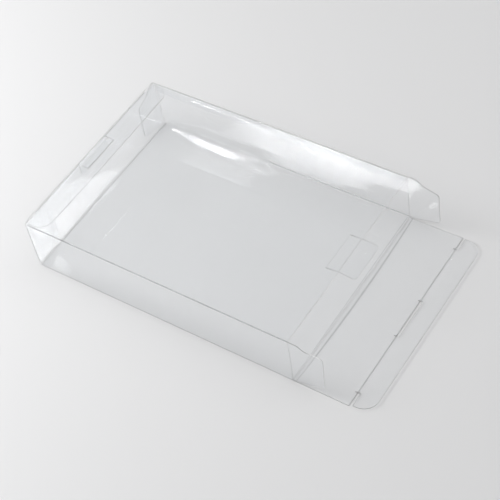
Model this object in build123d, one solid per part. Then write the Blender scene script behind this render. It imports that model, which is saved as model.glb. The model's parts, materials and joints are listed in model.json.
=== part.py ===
from build123d import *
import os

# A clear protector for a boxed game, cut from one sheet of film, creased, folded and glued along
# one edge into a flat box. It lies on its large face. One end is closed and locked, the other open.
# +X runs from the closed end to the open end, +Y from the near wall to the glued wall, +Z up.
# The origin is the middle of the base, on its underside.

os.makedirs("parts", exist_ok=True)

# Size over the outside of the film with both ends closed
sleeve_length = 186.0
sleeve_width = 136.0
sleeve_height = 36.5

# The film and its creases
film = 0.4
bend_inner = 0.3
hinge_gap = 0.3
cut_width = 0.35
score_depth = 0.1
top_corner_radius = 1.5

# The glued wall's raw edge, and the glue flap that the top panel folds down inside it
glue_flap_height = 8.0
raw_edge_drop = 1.4
glue_flap_inset = 1.2
glue_flap_taper = 0.8

# The end flap and the tuck flap beyond it
side_clearance = 0.4
tuck_depth = 13.4
tuck_side_clearance = 0.7
tuck_corner_radius = 9.0

# The dust flaps
dust_flap_length = 20.5
dust_flap_foot = 1.0
dust_flap_foot_rise = 5.0
dust_flap_shoulder = 5.0
dust_flap_step_length = 5.0
dust_flap_step_drop = 3.0
dust_flap_fall = 2.0
dust_flap_corner_radius = 2.0

# The lock tongue, which the top panel ends in, and the slots that it and the dust flaps pass
tongue_width = 27.0
tongue_root = 8.0
tongue_length = 10.8
tongue_corner_radius = 2.0
tongue_droop = 4.0
tongue_rise = 1.0
tongue_clearance = 0.5
tongue_slot_depth = 2.1
end_slot_length = 9.0
end_slot_depth = 1.3
tick_length = 1.4

# Bends, measured to the outside and to the middle of the film
bend_outer = bend_inner + film
bend_middle = bend_inner + film / 2
# A folded strip runs this far past its bend, into the flat film that it is one with.
lap = 0.5

# Places along X. The closed end comes first, from its outer face inwards.
closed_end = -sleeve_length / 2
closed_inner_flaps = closed_end + film + hinge_gap
closed_wall_start = closed_inner_flaps + bend_outer
# The mouth: the end flap folds up about end_axis_x, outside the folded dust flaps and tongue,
# which fold about mouth_axis_x, just beyond the edge of the walls and the top panel.
end_axis_x = sleeve_length / 2 - film
base_end = end_axis_x - hinge_gap
mouth_axis_x = end_axis_x - hinge_gap - film
mouth_edge = mouth_axis_x - hinge_gap

# The tuck flap lies under the top panel when it is closed, and that sets the height of the end flap.
tuck_under_top = sleeve_height - film - hinge_gap
tuck_axis_x = end_axis_x + tuck_under_top - 2 * film
end_flap_edge = tuck_axis_x - hinge_gap

# Widths, each symmetrical about the XZ plane
inner_half_width = sleeve_width / 2 - film
flat_half_width = sleeve_width / 2 - bend_outer
end_flap_half_width = inner_half_width - side_clearance
tuck_half_width = end_flap_half_width - tuck_side_clearance
tongue_slot_half_width = tongue_width / 2 + tongue_clearance
relief_half_width = tongue_width / 2 + cut_width

# Heights on the dust flaps
dust_flap_top = sleeve_height - film
dust_flap_step = dust_flap_top - dust_flap_step_drop


def block(x, y, z):
    """A block between two values along each axis."""
    size = (x[1] - x[0], y[1] - y[0], z[1] - z[0])
    middle = (sum(x) / 2, sum(y) / 2, sum(z) / 2)
    return Pos(*middle) * Box(*size)


def folded_strip(points, plane, width):
    """Film that follows a creased line in a plane, as wide as given across it."""
    line = FilletPolyline(*points, radius=bend_middle)
    return extrude(plane * trace(line, line_width=film), amount=width / 2, both=True)


def tube_section():
    """The film round the base, near wall, top and glued wall, from raw edge to glue flap."""
    edge = film / 2
    glued_fold = sleeve_width / 2 - film - edge
    fold_end = sleeve_height - bend_outer
    corners = [
        (sleeve_width / 2 - edge, sleeve_height - raw_edge_drop),
        (sleeve_width / 2 - edge, edge),
        (edge - sleeve_width / 2, edge),
        (edge - sleeve_width / 2, sleeve_height - edge),
        (glued_fold, sleeve_height - edge),
        (glued_fold, fold_end - lap),
    ]
    return Plane.YZ * trace(FilletPolyline(*corners, radius=bend_middle), line_width=film)


def glue_flap():
    """The strip glued to the inside of the glued wall, with ends that taper to its free edge."""
    low_z = sleeve_height - glue_flap_height
    high_z = sleeve_height - bend_outer
    start = closed_wall_start + glue_flap_inset
    end = mouth_edge - glue_flap_inset
    outline = Polyline(
        (start, high_z),
        (end, high_z),
        (end - glue_flap_taper, low_z),
        (start + glue_flap_taper, low_z),
        close=True,
    )
    plane = Plane(origin=(0, inner_half_width, 0), x_dir=(1, 0, 0), z_dir=(0, -1, 0))
    return extrude(plane * make_face(outline), amount=film)


def dust_flap_outline():
    """A dust flap seen flat: a full-height shoulder at the fold, a step down, a rising foot."""
    fold_top = (0, dust_flap_top)
    shoulder = (dust_flap_shoulder, dust_flap_top)
    step = (dust_flap_shoulder + dust_flap_step_length, dust_flap_step)
    half_step = ((shoulder[0] + step[0]) / 2, (shoulder[1] + step[1]) / 2)
    far_top = (dust_flap_length, dust_flap_step - dust_flap_fall)
    far_foot = (dust_flap_length, dust_flap_foot + dust_flap_foot_rise)
    fold_foot = (0, dust_flap_foot)
    ease_out = TangentArc(shoulder, half_step, tangent=(1, 0))
    ease_in = TangentArc(step, half_step, tangent=(-1, 0))
    edges = [
        Line(fold_foot, fold_top),
        Line(fold_top, shoulder),
        ease_out,
        ease_in,
        Line(step, far_top),
        Line(far_top, far_foot),
        Line(far_foot, fold_foot),
    ]
    outline = make_face(Curve() + edges)
    far_corners = outline.vertices().sort_by(Axis.X)[-2:]
    return fillet(far_corners, radius=dust_flap_corner_radius)


def tuck_outline():
    """A tuck flap seen flat, from its crease outwards, with the slots cut along the crease."""
    plate = Pos(tuck_depth / 2, 0) * Rectangle(tuck_depth, 2 * tuck_half_width)
    outer_corners = plate.vertices().sort_by(Axis.X)[-2:]
    plate = fillet(outer_corners, radius=tuck_corner_radius)
    tongue_slot = Pos(tongue_slot_depth / 2, 0) * Rectangle(
        tongue_slot_depth, 2 * tongue_slot_half_width
    )
    plate -= tongue_slot
    for side in (-1, 1):
        slot_middle = side * (tuck_half_width - end_slot_length / 2)
        plate -= Pos(end_slot_depth / 2, slot_middle) * Rectangle(end_slot_depth, end_slot_length)
    return plate


def closed_end_wall():
    """The end wall folded up from the base, and its tuck flap under the top panel."""
    edge = film / 2
    crease_z = tuck_under_top - edge
    bend_end = closed_end + bend_outer
    corners = [
        (bend_end + lap, edge),
        (closed_end + edge, edge),
        (closed_end + edge, crease_z),
        (bend_end + lap, crease_z),
    ]
    wall = folded_strip(corners, Plane.XZ, 2 * end_flap_half_width)
    tuck_place = Pos(bend_end, 0, tuck_under_top - film)
    wall += tuck_place * extrude(tuck_outline(), amount=film)
    above_crease = (tuck_under_top - bend_outer, sleeve_height)
    slot_ends = (-tongue_slot_half_width, tongue_slot_half_width)
    wall -= block((closed_end - film, bend_end + tongue_slot_depth), slot_ends, above_crease)
    for side in (-1, 1):
        slot_ends = sorted((side * (tuck_half_width - end_slot_length), side * sleeve_width / 2))
        wall -= block((closed_end - film, bend_end + end_slot_depth), slot_ends, above_crease)
    return wall


def closed_dust_flap():
    """The dust flap folded in from the glued wall at the closed end."""
    fold_y = sleeve_width / 2 - bend_outer
    corner = (closed_inner_flaps + film / 2, sleeve_width / 2 - film / 2)
    points = [(closed_wall_start + lap, corner[1]), corner, (corner[0], fold_y - lap)]
    fold_height = dust_flap_top - dust_flap_foot
    fold_plane = Plane.XY.offset((dust_flap_top + dust_flap_foot) / 2)
    fold = folded_strip(points, fold_plane, fold_height)
    plate_plane = Plane(
        origin=(closed_inner_flaps, fold_y, 0), x_dir=(0, -1, 0), z_dir=(-1, 0, 0)
    )
    return fold + extrude(plate_plane * dust_flap_outline(), amount=-film)


def closed_tongue():
    """The tongue at the closed end: it springs up a little from its root, then dives in the slot."""
    middle_z = sleeve_height - film / 2
    root_x = closed_end + tongue_root
    leg_x = closed_inner_flaps + film / 2
    points = [
        (root_x + lap, middle_z),
        (root_x, middle_z),
        (leg_x, middle_z + tongue_rise),
        (leg_x, middle_z + tongue_rise - tongue_length),
    ]
    tongue = folded_strip(points, Plane.XZ, tongue_width)
    tip_corners = tongue.edges().filter_by(Axis.X).sort_by(Axis.Z)[:2]
    return fillet(tip_corners, radius=tongue_corner_radius)


def sleeve():
    """Everything that stays put: base, walls, top, glue flap and the locked closed end."""
    body = Pos(closed_wall_start, 0, 0) * extrude(
        tube_section(), amount=mouth_edge - closed_wall_start
    )
    body += glue_flap()
    base_span = (-flat_half_width, flat_half_width)
    base_height = (0, film)
    body += block((closed_end + bend_outer, closed_wall_start), base_span, base_height)
    body += block((mouth_edge, base_end), base_span, base_height)
    top_span = (-flat_half_width, flat_half_width - film)
    top_height = (sleeve_height - film, sleeve_height)
    top_lip = block((closed_end, closed_wall_start + lap), top_span, top_height)
    lip_corners = top_lip.edges().filter_by(Axis.Z).sort_by(Axis.X)[:2]
    body += fillet(lip_corners, radius=top_corner_radius)

    # The tongue is cut free of the top panel at its sides, at both ends.
    body -= block(
        (closed_end - film, closed_end + tongue_root),
        (-relief_half_width, relief_half_width),
        top_height,
    )
    for side in (-1, 1):
        relief_y = sorted((side * tongue_width / 2, side * relief_half_width))
        body -= block((mouth_edge - tongue_root, mouth_edge), relief_y, top_height)
    body += closed_tongue()

    # A score across the root of the open end's tongue, on top
    score_x = mouth_edge - tongue_root
    body -= block(
        (score_x - cut_width / 2, score_x + cut_width / 2),
        (-tongue_width / 2, tongue_width / 2),
        (sleeve_height - score_depth, sleeve_height),
    )
    body += closed_end_wall()
    dust_flap = closed_dust_flap()
    body += dust_flap
    body += mirror(dust_flap, about=Plane.XZ)
    return body


def end_flap():
    """The open end's wall, lying flat beyond the base."""
    length = end_flap_edge - end_axis_x
    plate = Pos(length / 2, 0) * Rectangle(length, 2 * end_flap_half_width)
    # Short ticks run back from the ends of each slot in the tuck crease.
    slot_ends = [tongue_slot_half_width, tuck_half_width - end_slot_length]
    for side in (-1, 1):
        for slot_end in slot_ends:
            plate -= Pos(length - tick_length / 2, side * slot_end) * Rectangle(
                tick_length, cut_width
            )
    return Pos(end_axis_x, 0, 0) * extrude(plate, amount=film)


def tuck_flap():
    """The last panel beyond the end flap, which tucks in under the top panel."""
    return Pos(tuck_axis_x, 0, 0) * extrude(tuck_outline(), amount=film)


def dust_flap_back():
    """The dust flap on the glued wall at the open end, standing straight out."""
    plane = Plane(origin=(mouth_axis_x, inner_half_width, 0), x_dir=(1, 0, 0), z_dir=(0, -1, 0))
    return extrude(plane * dust_flap_outline(), amount=-film)


def lock_tongue():
    """The free part of the open end's tongue, drooping a little from the edge of the top panel."""
    plate = Pos(tongue_length / 2, 0) * Rectangle(tongue_length, tongue_width)
    tip_corners = plate.vertices().sort_by(Axis.X)[-2:]
    plate = fillet(tip_corners, radius=tongue_corner_radius)
    place = Pos(mouth_axis_x, 0, sleeve_height - film) * Rot(0, tongue_droop, 0)
    return place * extrude(plate, amount=film)


back = dust_flap_back()
nodes = {
    "sleeve": sleeve(),
    "end_flap": end_flap(),
    "tuck_flap": tuck_flap(),
    "dust_flap_back": back,
    "dust_flap_front": mirror(back, about=Plane.XZ),
    "lock_tongue": lock_tongue(),
}
for name, shape in nodes.items():
    shape.label = name
    export_step(shape, f"parts/{name}.step")
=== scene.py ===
import json
import math

import bmesh
import bpy
import numpy as np
from mathutils import Matrix, Vector

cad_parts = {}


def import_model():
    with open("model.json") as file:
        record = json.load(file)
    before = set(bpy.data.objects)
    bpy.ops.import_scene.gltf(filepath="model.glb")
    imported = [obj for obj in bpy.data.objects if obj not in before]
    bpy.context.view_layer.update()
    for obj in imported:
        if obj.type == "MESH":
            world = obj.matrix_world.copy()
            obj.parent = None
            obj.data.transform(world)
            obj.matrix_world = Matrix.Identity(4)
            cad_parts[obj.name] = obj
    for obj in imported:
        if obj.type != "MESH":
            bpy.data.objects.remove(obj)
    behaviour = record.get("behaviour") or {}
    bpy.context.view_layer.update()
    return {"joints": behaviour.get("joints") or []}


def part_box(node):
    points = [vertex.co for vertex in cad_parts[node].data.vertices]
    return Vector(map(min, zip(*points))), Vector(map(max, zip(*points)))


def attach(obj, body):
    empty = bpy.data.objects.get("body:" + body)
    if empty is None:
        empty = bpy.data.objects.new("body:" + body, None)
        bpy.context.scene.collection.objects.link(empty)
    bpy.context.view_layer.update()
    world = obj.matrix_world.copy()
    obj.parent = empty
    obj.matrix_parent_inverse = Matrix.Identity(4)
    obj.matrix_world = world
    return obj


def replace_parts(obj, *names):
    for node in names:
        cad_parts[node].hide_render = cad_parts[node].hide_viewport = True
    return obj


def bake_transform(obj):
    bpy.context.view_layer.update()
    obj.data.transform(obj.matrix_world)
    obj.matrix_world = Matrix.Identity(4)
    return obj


# The looks of a clear protector for a boxed game: one sheet of film, folded into a flat box, with
# one end locked and the other open. Sizes are in millimetres until a mesh is made.
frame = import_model()
MM = 0.001


def box_mm(node):
    """Lowest and highest corner of a node, in millimetres."""
    low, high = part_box(node)
    return np.array(low) / MM, np.array(high) / MM


sleeve_low, sleeve_high = box_mm("sleeve")
end_low, end_high = box_mm("end_flap")
tuck_low, tuck_high = box_mm("tuck_flap")
dust_low, dust_high = box_mm("dust_flap_back")
tongue_high = box_mm("lock_tongue")[1]
joint_at = {j["name"]: np.array(j["pos_m"]) / MM for j in frame["joints"]}

# The film. It is drawn a little thinner than it is, so that layers that touch keep air between them.
film = end_high[2] - end_low[2]
sheet = 0.9 * film

# The height of the film's middle over what it lies on, the radius and steps of its bends, the gap
# where two pieces meet, and a tolerance for comparing places
edge = film / 2
bend = 0.5
arc_steps = 6
hair = 0.02
tiny = 1e-6

# The closed box
closed_end = sleeve_low[0]
half_width = sleeve_high[1]
height = dust_high[2] + film
mouth = joint_at["dust_flap_back_fold"][0] - (joint_at["end_flap_fold"][0] - sleeve_high[0])
closed_wall_start = closed_end + 1.4
inner_flap_x = closed_wall_start - bend

# Slots, tongue and flaps, as the sheet is cut
tongue_half = tongue_high[1]
tongue_root = 8.0
tongue_length = 10.8
tongue_corner = 2.0
tongue_rise = 1.0
tongue_spring = 0.65
relief = 0.35
glue_flap_depth = 8.0
raw_edge_drop = 1.4
glue_inset = 1.2
glue_taper = 0.8
glue_gap = 0.06
lip_corner = 1.5
lip_least = 0.3
lip_half = half_width - 0.7
tuck_corner = 9.0
tuck_half = tuck_high[1]
tuck_depth = tuck_high[0] - tuck_low[0]
tongue_slot_half = tongue_half + 0.7
end_slot_start = tuck_half - 9.0
slot_lines = [tongue_slot_half, end_slot_start]
slot_width = 2.0
closed_tongue_slot = 2.1
closed_end_slot = 1.3
tick_length = 1.4
tick_width = 0.35
dust_length = dust_high[0] - dust_low[0]
dust_foot = dust_low[2]
dust_foot_rise = 5.0
dust_top = dust_high[2]
dust_shoulder = 5.0
dust_step_length = 5.0
dust_step_drop = 3.0
dust_fall = 2.0
dust_corner = 2.0

# How the box leans: each corner's move. A corner is 0 or 1 for the closed end or the mouth, for the
# near or the far side, and for the bottom or the top.
lean = {
    (0, 0, 0): (2.0, 0.95, 0.0),
    (0, 1, 0): (2.0, -0.45, 0.0),
    (0, 0, 1): (0.0, 1.5, 0.0),
    (0, 1, 1): (0.0, -0.45, 0.0),
    (1, 0, 0): (0.0, 0.5, 0.0),
    (1, 1, 0): (0.0, -0.5, 0.0),
    (1, 0, 1): (0.0, 0.8, -0.2),
    (1, 1, 1): (0.0, 0.0, 0.0),
}

# How far the panels bow between their folds, and how much their bows are flattened on top
top_sag = 1.1
base_swell = 0.25
near_wall_bow = 0.8
end_wall_bow = 0.3
end_flap_swell = 0.5
dust_lean = 1.6
blunt = 0.7


def smooth(t):
    """A step from 0 to 1 with level ends."""
    t = np.clip(t, 0.0, 1.0)
    return t * t * (3.0 - 2.0 * t)


def hump(t, power=1.0):
    """0 at both ends and 1 in the middle."""
    return np.sin(np.pi * np.clip(t, 0.0, 1.0)) ** power


def settle(points):
    """Moves points by how the box leans at its eight corners."""
    u = np.clip((points[..., 0] - closed_end) / (mouth - closed_end), 0, 1)
    v = np.clip((points[..., 1] + half_width) / (2 * half_width), 0, 1)
    w = np.clip(points[..., 2] / height, 0, 1)
    moved = points.copy()
    for (i, j, k), move in lean.items():
        share = (u if i else 1 - u) * (v if j else 1 - v) * (w if k else 1 - w)
        moved += share[..., None] * np.array(move)
    return moved


def rounded_path(corners, steps):
    """Points along a polyline with bends at its corners, with the run and the share of it for each.
    Halfway between two runs' numbers is their bend. steps holds, for each run, a number of steps or
    the shares at which it has points."""
    corners = [np.array(c, float) for c in corners]
    points, runs, shares = [], [], []
    cuts = [corners[0]]
    arcs = []
    for a, b, c in zip(corners, corners[1:], corners[2:]):
        into, out = (b - a) / np.linalg.norm(b - a), (c - b) / np.linalg.norm(c - b)
        turn = math.acos(np.clip(into @ out, -1, 1))
        back = bend * math.tan(turn / 2)
        side = math.copysign(1, into[0] * out[1] - into[1] * out[0])
        start = b - into * back
        centre = start + side * bend * np.array([-into[1], into[0]])
        arcs.append((start, centre, side * turn))
        cuts += [start, b + out * back]
    cuts.append(corners[-1])
    for n, step in enumerate(steps):
        start, end = cuts[2 * n], cuts[2 * n + 1]
        at = np.linspace(0, 1, step + 1) if isinstance(step, int) else np.array(step)
        for t in at:
            points.append(start + t * (end - start))
            runs.append(n)
            shares.append(t)
        if n < len(arcs):
            arc_start, centre, turn = arcs[n]
            for k in range(1, arc_steps):
                a = turn * k / arc_steps
                d = arc_start - centre
                spin = (d[0] * math.cos(a) - d[1] * math.sin(a), d[0] * math.sin(a) + d[1] * math.cos(a))
                points.append(centre + np.array(spin))
                runs.append(n + 0.5)
                shares.append(k / arc_steps)
    return np.array(points), np.array(runs), np.array(shares)


def lay_grid(x, y, z):
    """A grid of points from its three coordinates, each given for the rows, the columns or both."""
    return np.stack(np.broadcast_arrays(x, y, z), axis=-1)


def film_faces(keep):
    """Faces over the cells that a sheet has: its two sides and its cut edges. The numbers of the
    lower side's points follow those of the upper side's. Also returned are the places of the cut
    edges in the list of faces, and the lines round them."""
    rows, columns = keep.shape
    wide = columns + 1
    below = (rows + 1) * wide
    faces, edge_faces, rims = [], [], []
    for i, j in np.argwhere(keep).tolist():
        first = i * wide + j
        ring = [first, first + wide, first + wide + 1, first + 1]
        faces.append(ring)
        faces.append([k + below for k in reversed(ring)])
        beside = [(i, j - 1), (i + 1, j), (i, j + 1), (i - 1, j)]
        for n, (p, q) in enumerate(beside):
            if 0 <= p < rows and 0 <= q < columns and keep[p, q]:
                continue
            a, b = ring[n], ring[(n + 1) % 4]
            edge_faces.append(len(faces))
            faces.append([b, a, a + below, b + below])
            rims += [(a, b), (a + below, b + below), (a, a + below), (b, b + below)]
    return faces, edge_faces, rims


def film_piece(name, grid, keep=None, crease=0.0, painted_edge_shade=0.5):
    """A closed sheet of film about a grid of points in its middle. keep says which cells it has,
    crease how dark each point is drawn along the folds, partly a real score and partly painted shade, and
    the last argument how dark its cut edge is painted, as painted light and shade."""
    rows, columns = grid.shape[:2]
    crease, painted_edge_shade = (np.broadcast_to(v, (rows, columns)).reshape(-1) for v in (crease, painted_edge_shade))
    if keep is None:
        keep = np.ones((rows - 1, columns - 1), bool)
    across = np.gradient(grid, axis=0)
    along = np.gradient(grid, axis=1)
    normal = np.cross(across, along)
    normal /= np.maximum(np.linalg.norm(normal, axis=2, keepdims=True), 1e-12)
    sides = [grid + normal * sheet / 2, grid - normal * sheet / 2]
    points = np.concatenate([s.reshape(-1, 3) for s in sides]) * MM
    faces, edge_faces, rims = film_faces(keep)
    used = np.unique(np.array(faces))
    order = np.full(len(points), -1)
    order[used] = np.arange(len(used))
    mesh = bpy.data.meshes.new(name)
    mesh.from_pydata(points[used].tolist(), [], order[np.array(faces)].tolist())
    mesh.shade_smooth()
    mesh.materials.append(clear_film)
    mesh.materials.append(cut_edge)
    for n in edge_faces:
        mesh.polygons[n].material_index = 1
    for kind, level in (("crease", crease), ("painted_edge_shade", painted_edge_shade)):
        stored = mesh.attributes.new(kind, "FLOAT", "POINT")
        stored.data.foreach_set("value", np.concatenate([level, level])[used].astype(np.float32))
    sharp = {tuple(sorted((int(order[a]), int(order[b])))) for a, b in rims}
    for line in mesh.edges:
        if tuple(sorted(line.vertices)) in sharp:
            line.use_edge_sharp = True
    turned_out = bmesh.new()
    turned_out.from_mesh(mesh)
    bmesh.ops.recalc_face_normals(turned_out, faces=turned_out.faces)
    turned_out.to_mesh(mesh)
    turned_out.free()
    piece = bpy.data.objects.new(name, mesh)
    bpy.context.scene.collection.objects.link(piece)
    return piece


def link(tree, source, target):
    tree.links.new(source, target)


def mix_by_attribute(tree, attribute, plain, full):
    """A colour that goes from plain to full with one of the mesh's own attributes."""
    level = tree.nodes.new("ShaderNodeAttribute")
    level.attribute_name = attribute
    mix = tree.nodes.new("ShaderNodeMix")
    mix.data_type = "RGBA"
    mix.inputs["A"].default_value = (*plain, 1)
    mix.inputs["B"].default_value = (*full, 1)
    link(tree, level.outputs["Fac"], mix.inputs["Factor"])
    return mix.outputs["Result"]


def make_clear_film():
    """Clear polyester film: glass that lets lamps through, with faint ripples, darkened along its
    creases, partly as a real score and partly as painted shade.
    """
    material = bpy.data.materials.new("clear_film")
    material.use_nodes = True
    tree = material.node_tree
    tree.nodes.clear()
    output = tree.nodes.new("ShaderNodeOutputMaterial")
    glass = tree.nodes.new("ShaderNodeBsdfPrincipled")
    glass.inputs["Transmission Weight"].default_value = 0.985
    glass.inputs["Roughness"].default_value = 0.03
    glass.inputs["IOR"].default_value = 1.57
    # Darker along the creases: partly a real score, partly painted shade for the dark lines the bends
    # show.
    colour_with_painted_shade = mix_by_attribute(tree, "crease", (0.985, 0.99, 0.995), (0.55, 0.56, 0.57))
    link(tree, colour_with_painted_shade, glass.inputs["Base Color"])
    place = tree.nodes.new("ShaderNodeTexCoord")
    ripple = tree.nodes.new("ShaderNodeTexNoise")
    ripple.inputs["Scale"].default_value = 38.0
    ripple.inputs["Detail"].default_value = 2.0
    bump = tree.nodes.new("ShaderNodeBump")
    bump.inputs["Strength"].default_value = 0.12
    bump.inputs["Distance"].default_value = 0.0004
    link(tree, place.outputs["Object"], ripple.inputs["Vector"])
    link(tree, ripple.outputs["Fac"], bump.inputs["Height"])
    link(tree, bump.outputs["Normal"], glass.inputs["Normal"])
    passing = tree.nodes.new("ShaderNodeBsdfTransparent")
    facing = tree.nodes.new("ShaderNodeLayerWeight")
    facing.inputs["Blend"].default_value = 0.5
    steep = tree.nodes.new("ShaderNodeMath")
    steep.operation = "POWER"
    steep.inputs[1].default_value = 4.0
    tint = tree.nodes.new("ShaderNodeMix")
    tint.data_type = "RGBA"
    # The creases' darkening, partly score and partly painted shade, also dims the light they let through
    # to the floor.
    clear = mix_by_attribute(tree, "crease", (0.99, 0.992, 0.993), (0.7, 0.7, 0.7))
    tint.inputs["B"].default_value = (0.3, 0.3, 0.3, 1)
    link(tree, clear, tint.inputs["A"])
    link(tree, facing.outputs["Facing"], steep.inputs[0])
    link(tree, steep.outputs["Value"], tint.inputs["Factor"])
    link(tree, tint.outputs["Result"], passing.inputs["Color"])
    path = tree.nodes.new("ShaderNodeLightPath")
    either = tree.nodes.new("ShaderNodeMath")
    either.operation = "MAXIMUM"
    link(tree, path.outputs["Is Shadow Ray"], either.inputs[0])
    link(tree, path.outputs["Is Diffuse Ray"], either.inputs[1])
    mix = tree.nodes.new("ShaderNodeMixShader")
    link(tree, either.outputs["Value"], mix.inputs["Fac"])
    link(tree, glass.outputs["BSDF"], mix.inputs[1])
    link(tree, passing.outputs["BSDF"], mix.inputs[2])
    link(tree, mix.outputs["Shader"], output.inputs["Surface"])
    return material


def make_cut_edge():
    """The film's cut edge, frosted by the knife, drawn pale in some places and dark in others: painted
    light and shade for the bright and dark lines the edges show.
    """
    material = bpy.data.materials.new("cut_edge")
    material.use_nodes = True
    tree = material.node_tree
    shader = tree.nodes["Principled BSDF"]
    shader.inputs["Roughness"].default_value = 0.45
    # Painted light and shade: how dark each cut edge is drawn, from pale to nearly black.
    colour_with_painted_shade = mix_by_attribute(tree, "painted_edge_shade", (0.9, 0.9, 0.9), (0.03, 0.03, 0.03))
    link(tree, colour_with_painted_shade, shader.inputs["Base Color"])
    return material


clear_film = make_clear_film()
cut_edge = make_cut_edge()


# The ridge that the open fold springs up into. Its crest lies just inside the mouth, and the film
# comes down again to a second line on the end flap. The last three lines give the crest's place,
# the second line's place and the crest's height: what each is at the near side, how much it grows
# towards the far side, and how far it bulges between the two.
ridge_lead = 32.0
ridge_start = mouth - 31.6
ridge_side_fade = 6.0
ridge_wall_fade = 10.0
ridge_blunt = 0.8
knee_x = mouth - 0.6
knee_reach = 0.15
fold_x = sleeve_high[0]
crest_inset, crest_slant, crest_bulge = 1.25, 0.85, 0.1
spring_out, spring_slant, spring_bulge = 0.35, 0.3, 2.3
ridge_height, ridge_slant, ridge_bulge = 0.1, 0.1, 0.3


def across_share(y):
    """A place across the box, from 0 at the near side to 1 at the far side."""
    return np.clip((y + half_width) / (2 * half_width), 0, 1)


def crest_x(y):
    """Where the ridge's crest lies."""
    t = across_share(y)
    return fold_x - crest_inset - crest_slant * t + crest_bulge * hump(t)


def spring_x(y):
    """Where the film meets its flat place again, on the end flap."""
    t = across_share(y)
    fold = joint_at["end_flap_fold"][0]
    return fold + spring_out + spring_slant * t + spring_bulge * hump(t, ridge_blunt)


def base_lift(x, y):
    """Height of the film's middle above its flat place, near the mouth."""
    t = across_share(y)
    rise = np.clip((x - crest_x(y) + ridge_lead) / ridge_lead, 0, 1) ** 2
    fall = np.clip((spring_x(y) - x) / (spring_x(y) - crest_x(y)), 0, 1)
    crest = ridge_height + ridge_slant * t + ridge_bulge * hump(t, ridge_blunt)
    return crest * np.minimum(rise, fall)


def inside_share(y):
    """0 at the base's side folds, where the ridge dies out, and 1 between them."""
    return smooth((half_width - bend - abs(y)) / ridge_side_fade)


def bend_rows(x, start, knee, end, knee_at):
    """Moves places between start and end so that the one at knee comes to lie at knee_at."""
    before = start + (knee_at - start) * (x - start) / (knee - start)
    after = knee_at + (end - knee_at) * (x - knee) / (end - knee)
    return np.where((x > start) & (x < end), np.where(x < knee, before, after), x)


def bow_near_closed_end(up, along):
    """The far wall leans in as a flat face low down, turns over at its fullest, comes part of the
    way back, and meets its top fold again over the last few millimetres."""
    lean_in = 3.3
    end_fade = 0.02
    top_fade = 0.07
    at_flat_end = 0.8
    lost_above = 0.5
    flat = np.interp(along, [0.0, 0.04, 0.11, 0.17, 0.4], [0.03, 0.09, 0.175, 0.235, 0.25])
    peak = 1.5 * flat
    fullest = lean_in * flat / at_flat_end * np.clip(along / end_fade, 0, 1)
    turning = np.clip((up - flat) / (peak - flat), 0, 1)
    low = at_flat_end * np.minimum(up, flat) / flat + (1 - at_flat_end) * turning * (2 - turning)
    high = np.minimum(1 - lost_above * (up - peak) / (1 - peak), (1 - up) / top_fade)
    return fullest * np.where(up < peak, low, high)


def bow_near_mouth(up, along):
    """The far wall springs in at its foot, stands a little, and leans out more and more."""
    foot = 0.06
    standing = np.interp(along, [0.4, 0.7, 0.83, 0.95], [0.06, 0.08, 0.15, 0.3])
    most = np.interp(along, [0.3, 0.85, 1.0], [1.15, 1.1, 0.7])
    leaning = np.clip((up - standing) / (1 - standing), 0, 1)
    return most * np.minimum(np.clip(up / foot, 0, 1), 1 - leaning**2)


def wall_bow(up, along):
    """How far the far wall bows inwards, at shares of its height and length."""
    change_start, change_length = 0.4, 0.1
    closed = bow_near_closed_end(up, along)
    return closed + (bow_near_mouth(up, along) - closed) * smooth((along - change_start) / change_length)


def wall_share(z):
    """A height as a share of the glued wall, from its bottom fold to its raw edge."""
    low, high = edge + bend, height - raw_edge_drop
    return np.clip((z - low) / (high - low), 0, 1)


def tube_columns():
    """Places along the sleeve that its mesh has points at, closer together near both ends."""
    least_step = 0.12
    lip = np.linspace(closed_end, closed_wall_start, 5)
    near_closed_end = np.linspace(closed_end + 1.8, closed_end + 9.0, 7)
    middle = np.linspace(closed_end + 11.0, mouth - 13.6, 49)
    near_mouth = np.linspace(mouth - 12.6, knee_x, 25)
    special = [
        closed_end + tongue_root,
        mouth - tongue_root - 0.25,
        mouth - tongue_root,
        mouth - tongue_root + 0.25,
        knee_x - knee_reach,
        knee_x,
        knee_x + knee_reach,
        mouth,
    ]
    x = np.concatenate([lip, near_closed_end, middle, near_mouth, special])
    x = np.unique(np.round(x, 4))
    close = np.diff(x) < least_step
    protected = np.isin(x, np.round(np.concatenate([lip, special]), 4))
    drop = np.zeros(len(x), bool)
    for n in np.flatnonzero(close):
        drop[n if not protected[n] else n + 1] = True
    return x[~drop]


def root_spring(x):
    """How far the open tongue's root springs up towards the mouth."""
    return tongue_spring * np.clip((x - mouth + tongue_root) / tongue_root, 0, 1)


# The runs of the strip that makes the sleeve's tube, in order. Halfway between two is their fold.
FAR_WALL, BASE, NEAR_WALL, TOP, GLUE_FLAP = range(5)
HALF = 0.5


def tube_section():
    """The strip's cross-section, from the far wall's raw edge round to the glue flap."""
    inner_wall = half_width - film - sheet / 2 - glue_gap
    corners = [
        (half_width - edge, height - raw_edge_drop),
        (half_width - edge, edge),
        (edge - half_width, edge),
        (edge - half_width, height - edge),
        (inner_wall, height - edge),
        (inner_wall, height - glue_flap_depth),
    ]
    top_start, top_end = edge - half_width + bend, inner_wall - bend
    slit_lines = [s * (tongue_half + d) for s in (-1, 1) for d in (0, relief)]
    top_y = np.unique(np.concatenate([np.linspace(top_start, top_end, 41), slit_lines]))
    top_shares = (top_y - top_start) / (top_end - top_start)
    wall_up = np.concatenate([np.linspace(0, 0.1, 9), np.linspace(0.13, 1, 26)])
    base_steps, near_wall_steps, glue_steps = 48, 12, 6
    steps = [np.sort(1 - wall_up), base_steps, near_wall_steps, top_shares, glue_steps]
    return rounded_path(corners, steps)


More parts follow.
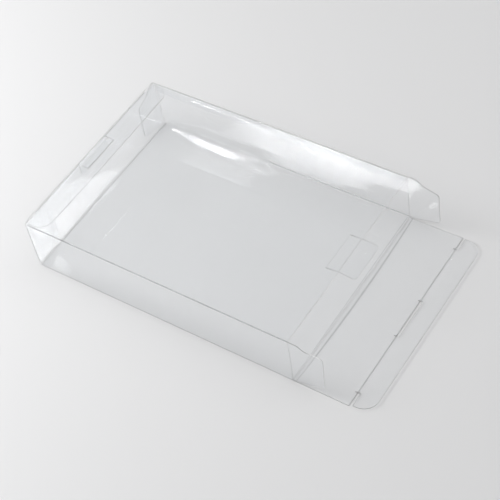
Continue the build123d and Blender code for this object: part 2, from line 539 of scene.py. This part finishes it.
def tube_cells(points, x, top):
    """Which cells the strip has. Only the top panel reaches over the closed end, and both tongues
    are cut free of it."""
    keep = np.ones((len(points) - 1, len(x) - 1), bool)
    lip_cells = x[:-1] < closed_wall_start - tiny
    row_top = top[:-1] & top[1:]
    keep[np.ix_(~row_top, lip_cells)] = False
    middle_y = (points[:-1, 0] + points[1:, 0]) / 2
    middle_x = (x[:-1] + x[1:]) / 2
    closed_tongue_rows = row_top & (abs(middle_y) < tongue_half + relief)
    slit_rows = closed_tongue_rows & (abs(middle_y) > tongue_half)
    keep[np.ix_(closed_tongue_rows, middle_x < closed_end + tongue_root)] = False
    keep[np.ix_(slit_rows, middle_x > mouth - tongue_root)] = False
    return keep


def round_lip(grid, points, x, top):
    """Rounds the corners of the top panel's lip over the closed end."""
    lip_columns = x < closed_wall_start
    t = (x[lip_columns] - closed_end) / (closed_wall_start - closed_end)
    for i in np.flatnonzero(top):
        in_from_side = lip_half - abs(points[i, 0])
        short = max(lip_corner - in_from_side, 0.0)
        start = closed_end + hair + lip_corner - math.sqrt(max(lip_corner**2 - short**2, 0.0))
        start = min(start, closed_wall_start - lip_least)
        grid[i, lip_columns, 0] = start + t * (closed_wall_start - start)


def taper_glue_flap(grid, points, x, runs):
    """Sets the glue flap in at both ends and tapers it to its free edge."""
    glue = runs >= GLUE_FLAP
    depth = np.where(glue, (height - bend - points[:, 1]) / (glue_flap_depth - bend), 0)
    share = (x - closed_wall_start) / (mouth - closed_wall_start)
    for i in np.flatnonzero(glue):
        start = closed_wall_start + glue_inset + glue_taper * depth[i]
        end = mouth - glue_inset - glue_taper * depth[i]
        grid[i, :, 0] = start + share * (end - start)


def lift_base(grid, points, runs):
    """Lifts the base into its ridge, and bends the columns there to the ridge's line."""
    y = grid[..., 1]
    followed = bend_rows(grid[..., 0], ridge_start, knee_x, mouth, crest_x(y))
    with_folds = abs(runs - BASE) <= HALF
    walls = (runs == FAR_WALL) | (runs == NEAR_WALL)
    wall_fade = np.clip(1 - (points[:, 1] - edge - bend) / ridge_wall_fade, 0, 1)
    near_base = np.where(with_folds[:, None], 1.0, 0.0)
    near_base = np.where(walls[:, None], wall_fade[:, None] ** 2, near_base)
    grid[..., 0] += near_base * (followed - grid[..., 0])
    lift = base_lift(grid[..., 0], y)
    grid[..., 2] += lift * np.where((runs == BASE)[:, None], inside_share(y), 0.0)


def bow_panels(grid, points, runs, shares):
    """Bows the strip's panels between their folds."""
    length_share = np.clip((grid[..., 0] - closed_end) / (mouth - closed_end), 0, 1)
    along = hump(length_share, blunt)
    across = hump(shares)[:, None]
    inwards = wall_bow(wall_share(points[:, 1])[:, None], length_share)
    glued = (runs == FAR_WALL) | (runs > TOP)
    grid[..., 1] -= np.where(glued[:, None], inwards, 0.0)
    grid[..., 1] += np.where((runs == NEAR_WALL)[:, None], near_wall_bow * across * along, 0.0)
    grid[..., 2] -= np.where((runs == TOP)[:, None], top_sag * across * along, 0.0)
    grid[..., 2] += np.where((runs == BASE)[:, None], base_swell * across**2 * along, 0.0)


def tube_marks(points, runs, x, free):
    """How dark each point of the strip is drawn along its folds, partly a real score and partly painted
    shade, and how dark each cut edge is painted.
    """
    # Folds darkened in the film: partly a real score, partly painted shade.
    scored_and_shaded = {BASE + HALF: 0.4, NEAR_WALL + HALF: 0.45}
    strength = np.array([scored_and_shaded.get(run, 0.0) for run in runs])
    crease = strength[:, None] * np.ones(len(x))[None, :]
    crease[runs == BASE, np.argmin(abs(x - knee_x))] = 0.7
    crease[free, np.argmin(abs(x - mouth + tongue_root))] = 0.3
    at_lip = x < closed_wall_start - 0.1
    at_mouth = x > mouth - 0.01
    at_slits = abs(abs(points[:, 0]) - tongue_half) < 0.6
    # The cut edges' painted light and shade, set place by place.
    painted_edge_shade = np.full(crease.shape, 0.2)
    painted_edge_shade[:, at_lip] = 0.9
    painted_edge_shade[np.ix_(runs == BASE, at_mouth)] = 0.1
    painted_edge_shade[np.ix_(runs == TOP, at_mouth)] = 0.0
    painted_edge_shade[np.ix_(at_slits, x > mouth - tongue_root - 0.3)] = 0.5
    painted_edge_shade[runs > TOP] = 0.0
    painted_edge_shade[np.ix_(runs > TOP, at_mouth)] = 0.5
    return crease, painted_edge_shade


def film_tube():
    """Base, walls, top panel and glue flap in one strip."""
    points, runs, shares = tube_section()
    x = tube_columns()
    top = runs == TOP
    grid = lay_grid(x, points[:, :1], points[:, 1:])
    round_lip(grid, points, x, top)
    taper_glue_flap(grid, points, x, runs)
    lift_base(grid, points, runs)
    bow_panels(grid, points, runs, shares)
    free = top & (abs(points[:, 0]) < tongue_half + 0.01)
    grid[..., 2] += np.where(free[:, None], root_spring(x)[None, :], 0.0)
    crease, painted_edge_shade = tube_marks(points, runs, x, free)
    return film_piece("sleeve_tube", settle(grid), tube_cells(points, x, top), crease, painted_edge_shade)


def corner_inset(distance, radius):
    """How far an edge steps back near a rounded corner, at a distance from the end."""
    short = np.clip(radius - distance, 0, radius)
    return radius - np.sqrt(radius**2 - short**2)


def end_ease(length, radius, steps):
    """Distances along a strip, closer together where its end corners are rounded."""
    plain = np.linspace(0, length - radius, max(int((length - radius) / 1.2), 2))
    turn = np.linspace(0, math.pi / 2, steps + 1)[1:]
    return np.concatenate([plain, length - radius + radius * np.sin(turn)])


def closed_end_wall():
    """The end wall from the base's fold up, and its tuck flap under the top panel."""
    base_lip, end_wall, tuck = range(3)
    tuck_gap = 0.3
    tuck_sag, tuck_sag_more = 0.4, 0.5
    wall_x = closed_end + edge + hair
    crease_z = height - film - tuck_gap - edge
    tuck_at = end_ease(tuck_depth, tuck_corner, 8)
    tuck_at = np.unique(np.concatenate([tuck_at, [closed_tongue_slot, closed_end_slot]]))
    corners = [
        (closed_wall_start - hair, edge),
        (wall_x, edge),
        (wall_x, crease_z),
        (wall_x + bend + tuck_depth, crease_z),
    ]
    points, runs, shares = rounded_path(corners, [2, 18, tuck_at / tuck_depth])
    wall_half = end_high[1]
    tuck_distance = np.where(runs == tuck, shares * tuck_depth, 0.0)
    half = np.where(runs < end_wall, lip_half, wall_half)
    half = np.where(runs > end_wall, tuck_half, half)
    half = half - np.where(runs == tuck, corner_inset(tuck_depth - tuck_distance, tuck_corner), 0.0)
    share_lines = np.array([s * v / tuck_half for s in (-1, 1) for v in slot_lines])
    v = np.unique(np.concatenate([np.linspace(-1, 1, 57), share_lines]))
    grid = lay_grid(points[:, :1], half[:, None] * v, points[:, 1:])
    bow = hump(shares)[:, None] * hump((v + 1) / 2)[None, :]
    grid[..., 0] += np.where((runs == end_wall)[:, None], end_wall_bow * bow, 0.0)
    sag = tuck_sag + tuck_sag_more * hump((v + 1) / 2)
    sag = smooth(tuck_distance / tuck_depth)[:, None] * sag[None, :]
    grid[..., 2] -= np.where((runs == tuck)[:, None], sag, 0.0)
    keep = np.ones((len(points) - 1, len(v) - 1), bool)
    y_middle = abs(v[:-1] + v[1:]) / 2 * tuck_half
    for i in range(len(points) - 1):
        if runs[i + 1] <= end_wall:
            continue
        far = tuck_distance[i + 1]
        if far <= closed_tongue_slot + tiny:
            keep[i, y_middle < tongue_slot_half] = False
        if far <= closed_end_slot + tiny:
            keep[i, y_middle > end_slot_start] = False
    # Folds darkened, partly a real score and partly painted shade, and the cut edges' painted light and
    # shade.
    crease = np.where(runs == base_lip + HALF, 0.12, 0.0)
    crease = np.where(runs == end_wall + HALF, 0.4, crease)
    painted_edge_shade = np.where(runs < tuck, 0.15, 0.3 - 0.15 * shares)
    return film_piece("sleeve_closed_end", settle(grid), keep, crease[:, None], painted_edge_shade[:, None])


def dust_outline(distance):
    """Lowest and highest point of a dust flap at each distance from its fold."""
    step = dust_shoulder + dust_step_length
    down = dust_step_drop * smooth((distance - dust_shoulder) / dust_step_length)
    down = down + dust_fall * np.clip((distance - step) / (dust_length - step), 0, 1)
    up = dust_foot_rise * np.clip(distance / dust_length, 0, 1)
    corner = corner_inset(dust_length - distance, dust_corner)
    return dust_foot + up + corner, dust_top - down - corner


def dust_grid(points, distance):
    """A dust flap's points: its plan line given, its outline standing on it."""
    low, high = dust_outline(np.clip(distance, 0, None))
    up = low[:, None] + (high - low)[:, None] * np.linspace(0, 1, 27)
    return lay_grid(points[:, :1], points[:, 1:], up)


def closed_dust_flap(side, name):
    """A dust flap folded in at the closed end."""
    wall_y = half_width - edge
    out = end_ease(dust_length, dust_corner, 6)
    corners = [
        (closed_wall_start - hair, wall_y),
        (inner_flap_x, wall_y),
        (inner_flap_x, wall_y - bend - dust_length),
    ]
    points, runs, shares = rounded_path(corners, [1, out / dust_length])
    distance = np.where(runs == 1, shares * dust_length, 0.0)
    grid = dust_grid(points, distance)
    grid[..., 0] += dust_lean * smooth(distance / dust_length)[:, None] * smooth(grid[..., 2] / height)
    grid[..., 1] *= side
    # Fold darkened, partly a real score and partly painted shade, and the cut edges' painted light and
    # shade.
    crease = np.where(runs % 1 != 0, 0.2 if side < 0 else 0.0, 0.0)
    painted_edge_shade = np.where(runs < 1, 0.15, 0.5)
    return film_piece(name, settle(grid), None, crease[:, None], painted_edge_shade[:, None])


def closed_tongue():
    """The tongue at the closed end, sprung up a little before it dives into its slot."""
    down = end_ease(tongue_length - bend, tongue_corner, 5)
    corners = [
        (closed_end + tongue_root - hair, height - edge),
        (inner_flap_x, height - edge + tongue_rise),
        (inner_flap_x, height - edge + tongue_rise - tongue_length),
    ]
    points, runs, shares = rounded_path(corners, [8, down / (tongue_length - bend)])
    distance = np.where(runs == 1, shares * (tongue_length - bend), 0.0)
    inset = np.where(runs == 1, corner_inset(tongue_length - bend - distance, tongue_corner), 0.0)
    v = np.linspace(-1, 1, 17)
    grid = lay_grid(points[:, :1], (tongue_half - inset)[:, None] * v, points[:, 1:])
    # The fold darkened: partly a real score, partly painted shade.
    crease = np.where(runs % 1 != 0, 0.4, 0.0)
    return film_piece("sleeve_closed_tongue", settle(grid), None, crease[:, None])


def flat_rows(half, lines, count):
    """Shares across a flat panel, from -1 to 1, with the cut lines among them."""
    cut = np.array([s * value / half for s in (-1, 1) for value in lines])
    plain = np.linspace(-1, 1, count)
    least_gap = 0.6 / half
    far = np.array([np.min(abs(cut - p)) > least_gap for p in plain])
    return np.unique(np.concatenate([plain[far], cut]))


def end_flap():
    """The open end's wall, flat on the floor beyond the base's fold."""
    crease = end_high[0]
    fold = joint_at["end_flap_fold"][0]
    turned = fold + 0.3
    spring_row = fold + 0.9
    spring_reach = fold + 15.0
    x = np.concatenate([
        np.linspace(mouth + hair, fold_x - 0.15, 3),
        np.linspace(fold_x, turned, 7),
        [fold + 0.6, spring_row],
        np.linspace(fold + 1.6, crease - tick_length - 1.0, 24),
        np.linspace(crease - tick_length, crease, 4),
    ])
    half = end_high[1]
    cuts = [value + d for value in slot_lines for d in (-tick_width / 2, tick_width / 2)]
    v = flat_rows(half, cuts, 61)
    y = half * v[None, :]
    bent_x = bend_rows(x[:, None], turned, spring_row, spring_reach, spring_x(y))
    lift = base_lift(bent_x, y) * inside_share(y)
    swell = hump((bent_x - fold) / (crease - fold)) * hump((v + 1) / 2)[None, :]
    grid = lay_grid(bent_x, y, edge + lift + end_flap_swell * swell)
    keep = np.ones((len(x) - 1, len(v) - 1), bool)
    middle = abs(v[:-1] + v[1:]) / 2 * half
    for value in slot_lines:
        tick = abs(middle - value) < tick_width / 2
        keep[np.ix_(x[:-1] > crease - tick_length - tiny, tick)] = False
    # The line where the film comes back down onto the end flap is darkened as a painted shadow of the
    # ridge's crest. The crease at the far end is darkened partly as a score and partly as painted shade.
    scored_and_shaded = np.where(abs(x - spring_row) < 0.01, 0.45, 0.0)
    scored_and_shaded[-1] = 0.15
    slotted = (abs(half * v) < tongue_slot_half) | (abs(half * v) > end_slot_start)
    # The cut edges' painted light and shade, set place by place.
    painted_edge_shade = np.full(keep.shape + np.array([1, 1]), 0.6)
    painted_edge_shade[0] = 0.1
    painted_edge_shade[-1] = np.where(slotted, 0.7, 0.1)
    piece = film_piece("end_flap_sheet", grid, keep, scored_and_shaded[:, None], painted_edge_shade)
    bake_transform(piece)
    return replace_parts(piece, "end_flap")


def tuck_flap():
    """The last panel, with its slots along the crease and rounded outer corners."""
    crease = end_high[0]
    fold = tuck_low[0]
    flat_end = tuck_high[0] - tuck_corner
    turn = np.linspace(0, math.pi / 2, 13)[1:]
    x = np.concatenate([
        np.linspace(crease + hair, fold, 5),
        [fold + 0.45, fold + 0.9, crease + slot_width],
        np.linspace(crease + slot_width + 0.8, flat_end, 5),
        flat_end + tuck_corner * np.sin(turn),
    ])
    v = flat_rows(tuck_half, slot_lines, 61)
    half = tuck_half - corner_inset(tuck_high[0] - x, tuck_corner)
    rise = 0.4 * smooth((x - crease) / slot_width) + 0.6 * smooth((x - crease) / tuck_depth)
    grid = lay_grid(x[:, None], half[:, None] * v, edge + rise[:, None])
    keep = np.ones((len(x) - 1, len(v) - 1), bool)
    middle = abs(v[:-1] + v[1:]) / 2 * tuck_half
    slotted = (middle < tongue_slot_half) | (middle > end_slot_start)
    keep[np.ix_(x[1:] < crease + slot_width + tiny, slotted)] = False
    # Fold darkened, partly a real score and partly painted shade, and the cut edges' painted light and
    # shade.
    scored_and_shaded = np.where(x < fold + 0.3, 0.15, 0.0)
    painted_edge_shade = np.where(x < crease + 0.1, 0.1, 0.8)
    piece = film_piece("tuck_flap_sheet", grid, keep, scored_and_shaded[:, None], painted_edge_shade[:, None])
    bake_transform(piece)
    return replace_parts(piece, "tuck_flap")


def dust_buckle(out, up):
    """The depth of the one buckle that runs slanting up across the far dust flap."""
    foot_out, foot_up, slope = 2.0, 4.0, 0.85
    depth, width = 0.4, 5.0
    across = (up - foot_up) - slope * (out - foot_out)
    return depth * np.exp(-((across / width) ** 2))


def open_dust_flap(side, node):
    """A dust flap standing straight out at the mouth, buckled and leaning in a little."""
    fold = dust_low[0]
    out = end_ease(dust_length, dust_corner, 6)
    x = np.concatenate([np.linspace(mouth + hair, fold - 0.06, 4), fold + out])
    distance = x - fold
    plan = np.stack([x, np.full_like(x, half_width - edge)], axis=1)
    grid = dust_grid(plan, distance)
    reach = np.clip(distance / dust_length, 0, 1)[:, None]
    tall = grid[..., 2] / height
    if side > 0:
        buckle = dust_buckle(grid[..., 0] - fold, grid[..., 2]) * smooth(reach * 1.5)
        from_wall = wall_bow(wall_share(grid[..., 2]), 1.0) * (1 - smooth(reach * 1.6))
        inward = buckle + dust_lean * reach * tall + from_wall
    else:
        straight_to = 0.3
        inward = dust_lean * smooth((reach - straight_to) / (1 - straight_to)) * tall
    grid[..., 1] -= inward
    grid[..., 1] *= side
    # Fold darkened, partly a real score and partly painted shade, and the cut edges' painted light and
    # shade.
    crease = np.where(x < fold, 0.6, 0.0)
    painted_edge_shade = np.interp(distance, [-0.3, 0.0, 11.0, 14.0], [0.1, 0.7, 0.7, 0.7 if side > 0 else 0.0])
    piece = film_piece(node + "_sheet", settle(grid), None, crease[:, None], painted_edge_shade[:, None])
    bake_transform(piece)
    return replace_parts(piece, node)


def lock_tongue():
    """The tongue at the mouth, drooping from the top panel's edge."""
    fold = joint_at["lock_tongue_fold"][0]
    droop = math.radians(4.0)
    curl = 0.5
    out = end_ease(tongue_length, tongue_corner, 5)
    x = np.concatenate([np.linspace(mouth + hair, fold - 0.06, 4), fold + out])
    distance = np.clip(x - fold, 0, None)
    inset = corner_inset(tongue_length - distance, tongue_corner)
    v = np.linspace(-1, 1, 17)
    drop = distance * math.tan(droop) + curl * (distance / tongue_length) ** 2
    up = height - edge + tongue_spring - drop
    grid = lay_grid(x[:, None], (tongue_half - inset)[:, None] * v, up[:, None])
    # Fold darkened, partly a real score and partly painted shade, and the cut edges' painted light and
    # shade.
    crease = np.where(x < fold, 0.3, 0.0)
    painted_edge_shade = np.where(x < fold - 0.1, 0.1, 0.5)
    piece = film_piece("lock_tongue_sheet", settle(grid), None, crease[:, None], painted_edge_shade[:, None])
    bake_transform(piece)
    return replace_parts(piece, "lock_tongue")


sleeve_pieces = [
    film_tube(),
    closed_end_wall(),
    closed_dust_flap(1, "sleeve_closed_dust_back"),
    closed_dust_flap(-1, "sleeve_closed_dust_front"),
    closed_tongue(),
]
for sleeve_piece in sleeve_pieces:
    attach(sleeve_piece, "sleeve")
    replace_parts(sleeve_piece, "sleeve")
end_flap()
tuck_flap()
open_dust_flap(1, "dust_flap_back")
open_dust_flap(-1, "dust_flap_front")
lock_tongue()


def floor():
    """A plain pale floor."""
    half = 8.0
    just_below = -0.00002
    corners = [(-half, -half), (half, -half), (half, half), (-half, half)]
    mesh = bpy.data.meshes.new("floor")
    mesh.from_pydata([(x, y, just_below) for x, y in corners], [], [(0, 1, 2, 3)])
    made = bpy.data.objects.new("floor", mesh)
    bpy.context.scene.collection.objects.link(made)
    paint = bpy.data.materials.new("floor")
    paint.use_nodes = True
    shader = paint.node_tree.nodes["Principled BSDF"]
    shader.inputs["Base Color"].default_value = (0.80, 0.80, 0.805, 1)
    shader.inputs["Roughness"].default_value = 0.9
    shader.inputs["Specular IOR Level"].default_value = 0.2
    mesh.materials.append(paint)


def soft_lamp(name, x, y, z, radiance):
    """A studio soft box over a span of x and y, facing straight down, in metres. It lights the
    floor, and the film doesn't show it."""
    data = bpy.data.lights.new(name, "AREA")
    data.shape = "RECTANGLE"
    data.size = x[1] - x[0]
    data.size_y = y[1] - y[0]
    data.energy = radiance * math.pi * data.size * data.size_y
    lamp = bpy.data.objects.new(name, data)
    lamp.location = ((x[0] + x[1]) / 2, (y[0] + y[1]) / 2, z)
    lamp.visible_transmission = False
    lamp.visible_glossy = False
    bpy.context.scene.collection.objects.link(lamp)
    return lamp


def gleam_card(name, x, y, z, radiance):
    """A pale card that lights nothing. It shows as a gleam where the film turns light back twice."""
    more_than_once = 1.5
    card = soft_lamp(name, x, y, z, radiance)
    card.visible_diffuse = False
    card.visible_transmission = True
    card.data.use_nodes = True
    tree = card.data.node_tree
    path = tree.nodes.new("ShaderNodeLightPath")
    twice = tree.nodes.new("ShaderNodeMath")
    twice.operation = "GREATER_THAN"
    twice.inputs[1].default_value = more_than_once
    link(tree, path.outputs["Glossy Depth"], twice.inputs[0])
    link(tree, twice.outputs["Value"], tree.nodes["Emission"].inputs["Strength"])


def camera():
    """The photograph's viewing angle."""
    azimuth, elevation, roll = (math.radians(a) for a in (40.603, 49.524, -10.369))
    target = Vector((0.018479, 0.001588, 0))
    distance = 0.87659
    back = Vector((
        math.sin(azimuth) * math.cos(elevation),
        -math.cos(azimuth) * math.cos(elevation),
        math.sin(elevation),
    ))
    data = bpy.data.cameras.new("camera")
    data.sensor_width = 36.0
    data.lens = 104.905
    made = bpy.data.objects.new("camera", data)
    made.location = target + back * distance
    turn = (-back).to_track_quat("-Z", "Y").to_matrix() @ Matrix.Rotation(roll, 3, "Z")
    made.rotation_euler = turn.to_euler()
    bpy.context.scene.collection.objects.link(made)
    bpy.context.scene.camera = made


def world():
    """The studio's air, bright overhead and darker towards the horizon."""
    made = bpy.data.worlds.new("world")
    made.use_nodes = True
    tree = made.node_tree
    background = tree.nodes["Background"]
    background.inputs["Color"].default_value = (1, 1, 1, 1)
    place = tree.nodes.new("ShaderNodeTexCoord")
    split = tree.nodes.new("ShaderNodeSeparateXYZ")
    level = tree.nodes.new("ShaderNodeMapRange")
    level.interpolation_type = "SMOOTHSTEP"
    level.inputs["From Min"].default_value = 0.0
    level.inputs["From Max"].default_value = 0.75
    level.inputs["To Min"].default_value = 0.15
    level.inputs["To Max"].default_value = 0.61
    link(tree, place.outputs["Generated"], split.inputs["Vector"])
    link(tree, split.outputs["Z"], level.inputs["Value"])
    link(tree, level.outputs["Result"], background.inputs["Strength"])
    bpy.context.scene.world = made


floor()
world()
camera()
soft_lamp("side", x=(-0.95, -0.45), y=(-0.61, -0.11), z=0.6, radiance=10.6)
soft_lamp("back", x=(0.545, 1.095), y=(0.475, 1.025), z=1.0, radiance=4.4)
gleam_card("streak_card", x=(-0.98, -0.72), y=(-1.15, -0.85), z=0.95, radiance=44.0)
gleam_card("tail_card", x=(-0.715, -0.56), y=(-0.66, -0.465), z=0.94, radiance=4.5)
gleam_card("wall_card_0", x=(-0.70, -0.46), y=(-1.04, -0.68), z=0.96, radiance=9.0)
gleam_card("wall_card_1", x=(-0.665, -0.44), y=(-0.96, -0.74), z=0.97, radiance=8.0)
gleam_card("wall_card_2", x=(-0.63, -0.35), y=(-0.97, -0.86), z=0.98, radiance=12.0)
gleam_card("end_card_0", x=(0.56, 1.30), y=(0.30, 1.1), z=1.0, radiance=12.0)
gleam_card("end_card_1", x=(0.56, 1.30), y=(0.53, 0.73), z=1.01, radiance=12.0)

scene = bpy.context.scene
scene.view_settings.view_transform = "Standard"
scene.cycles.max_bounces = 24
scene.cycles.transmission_bounces = 24
scene.cycles.transparent_max_bounces = 48
scene.cycles.use_denoising = True
scene.cycles.sample_clamp_indirect = 0.0
